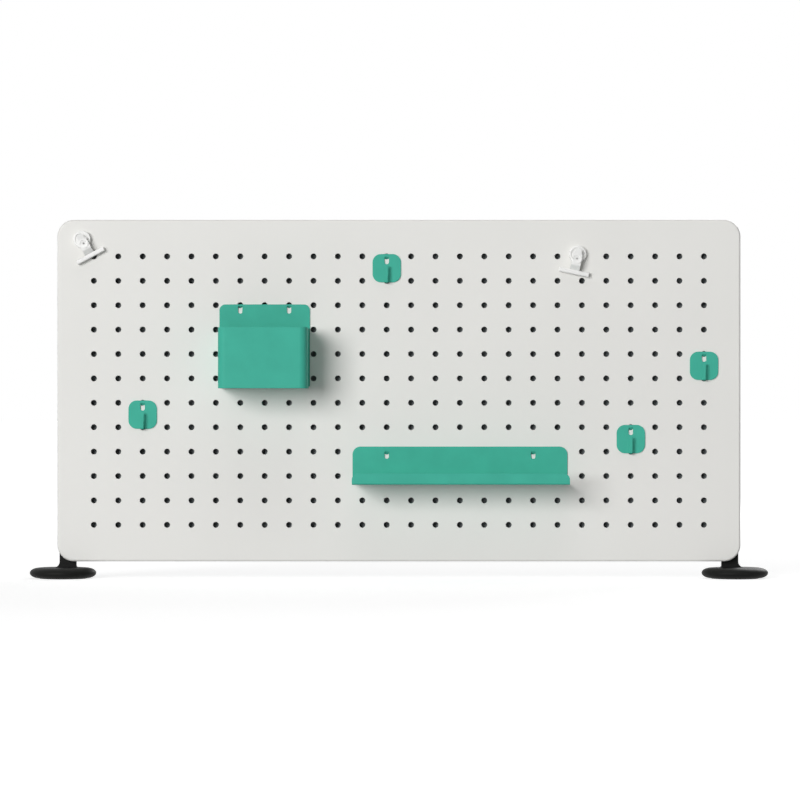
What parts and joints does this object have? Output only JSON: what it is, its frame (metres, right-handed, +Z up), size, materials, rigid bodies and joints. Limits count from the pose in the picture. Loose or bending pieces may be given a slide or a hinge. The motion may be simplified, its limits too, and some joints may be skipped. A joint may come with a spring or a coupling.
{
  "type": "desktop pegboard organizer",
  "caption": "Free-standing steel pegboard on disc feet, with hang-on hooks, a pen bin, a lipped shelf and magnetic bulldog clips.",
  "frame": {"origin": "on the desk, in the middle of the whole object's box", "axes": "+X to the right seen from the front, +Y to the back, +Z up"},
  "size_m": [0.7572, 0.1102, 0.3676],
  "materials": {
    "white_coat": "fine white powder coat, satin",
    "green_coat": "teal green powder coat, satin",
    "liner_black": "thin charcoal plastic sheet, matt",
    "foot_black": "black moulded plastic, satin",
    "pad_rubber": "matt anti-slip rubber",
    "zinc_plate": "zinc plated steel",
    "black_zinc": "black zinc plated steel",
    "clip_white": "white moulded plastic, soft gloss",
    "cup_nickel": "nickel plated steel",
    "magnet_nickel": "nickel plated magnet",
    "pin_steel": "bright steel wire"
  },
  "bodies": {
    "board": {"panel_face": "white_coat", "panel_rim": "white_coat", "panel_liner": "liner_black", "panel_weld_nuts": "zinc_plate", "foot_screws": "black_zinc", "foot_washers": "black_zinc", "foot_left": "foot_black", "foot_weight_left": "zinc_plate", "foot_pad_left": "pad_rubber", "foot_right": "foot_black", "foot_weight_right": "zinc_plate", "foot_pad_right": "pad_rubber"},
    "hook_1": {"hook_1_plate": "green_coat", "hook_1_finger": "green_coat"},
    "hook_2": {"hook_2_plate": "green_coat", "hook_2_finger": "green_coat"},
    "hook_3": {"hook_3_plate": "green_coat", "hook_3_finger": "green_coat"},
    "hook_4": {"hook_4_plate": "green_coat", "hook_4_finger": "green_coat"},
    "pen_bin": {"bin_front_and_sides": "green_coat", "bin_back_and_floor": "green_coat"},
    "shelf": {"shelf_tray": "green_coat"},
    "clip_left_magnet_base": {"clip_left_magnet_cup": "cup_nickel", "clip_left_magnet": "magnet_nickel"},
    "clip_left_arm": {"clip_left_back_arm": "clip_white", "clip_left_pivot_pin": "pin_steel", "clip_left_spring": "pin_steel"},
    "clip_left_front_jaw": {"clip_left_jaw": "clip_white"},
    "clip_right_magnet_base": {"clip_right_magnet_cup": "cup_nickel", "clip_right_magnet": "magnet_nickel"},
    "clip_right_arm": {"clip_right_back_arm": "clip_white", "clip_right_pivot_pin": "pin_steel", "clip_right_spring": "pin_steel"},
    "clip_right_front_jaw": {"clip_right_jaw": "clip_white"}
  },
  "joints": [
    {"name": "hook_1_lift_off", "type": "slide", "parent": "board", "child": "hook_1", "axis": [0, -0.7071, 0.7071], "range_m": [0, 0.03]},
    {"name": "hook_2_lift_off", "type": "slide", "parent": "board", "child": "hook_2", "axis": [0, -0.7071, 0.7071], "range_m": [0, 0.03]},
    {"name": "hook_3_lift_off", "type": "slide", "parent": "board", "child": "hook_3", "axis": [0, -0.7071, 0.7071], "range_m": [0, 0.03]},
    {"name": "hook_4_lift_off", "type": "slide", "parent": "board", "child": "hook_4", "axis": [0, -0.7071, 0.7071], "range_m": [0, 0.03]},
    {"name": "pen_bin_lift_off", "type": "slide", "parent": "board", "child": "pen_bin", "axis": [0, -0.7071, 0.7071], "range_m": [0, 0.03]},
    {"name": "shelf_lift_off", "type": "slide", "parent": "board", "child": "shelf", "axis": [0, -0.7071, 0.7071], "range_m": [0, 0.03]},
    {"name": "clip_left_pull_off", "type": "slide", "parent": "board", "child": "clip_left_magnet_base", "axis": [0, -1, 0], "range_m": [0, 0.03]},
    {"name": "clip_left_turn", "type": "hinge", "parent": "clip_left_magnet_base", "child": "clip_left_arm", "pos_m": [-0.3244, 0.01215, 0.3473], "axis": [0, 1, 0], "continuous": true},
    {"name": "clip_left_jaw_open", "type": "hinge", "parent": "clip_left_arm", "child": "clip_left_front_jaw", "pos_m": [-0.32064, 0.00755, 0.34024], "axis": [-0.8829, 0, -0.4695], "range_deg": [0, 20], "stiffness_Nm_per_rad": 0.04, "springref_deg": -45.84},
    {"name": "clip_right_pull_off", "type": "slide", "parent": "board", "child": "clip_right_magnet_base", "axis": [0, -1, 0], "range_m": [0, 0.03]},
    {"name": "clip_right_turn", "type": "hinge", "parent": "clip_right_magnet_base", "child": "clip_right_arm", "pos_m": [0.183, 0.01215, 0.3323], "axis": [0, 1, 0], "continuous": true},
    {"name": "clip_right_jaw_open", "type": "hinge", "parent": "clip_right_arm", "child": "clip_right_front_jaw", "pos_m": [0.18141, 0.00755, 0.32446], "axis": [-0.9799, 0, 0.1994], "range_deg": [0, 20], "stiffness_Nm_per_rad": 0.04, "springref_deg": -45.84}
  ]
}
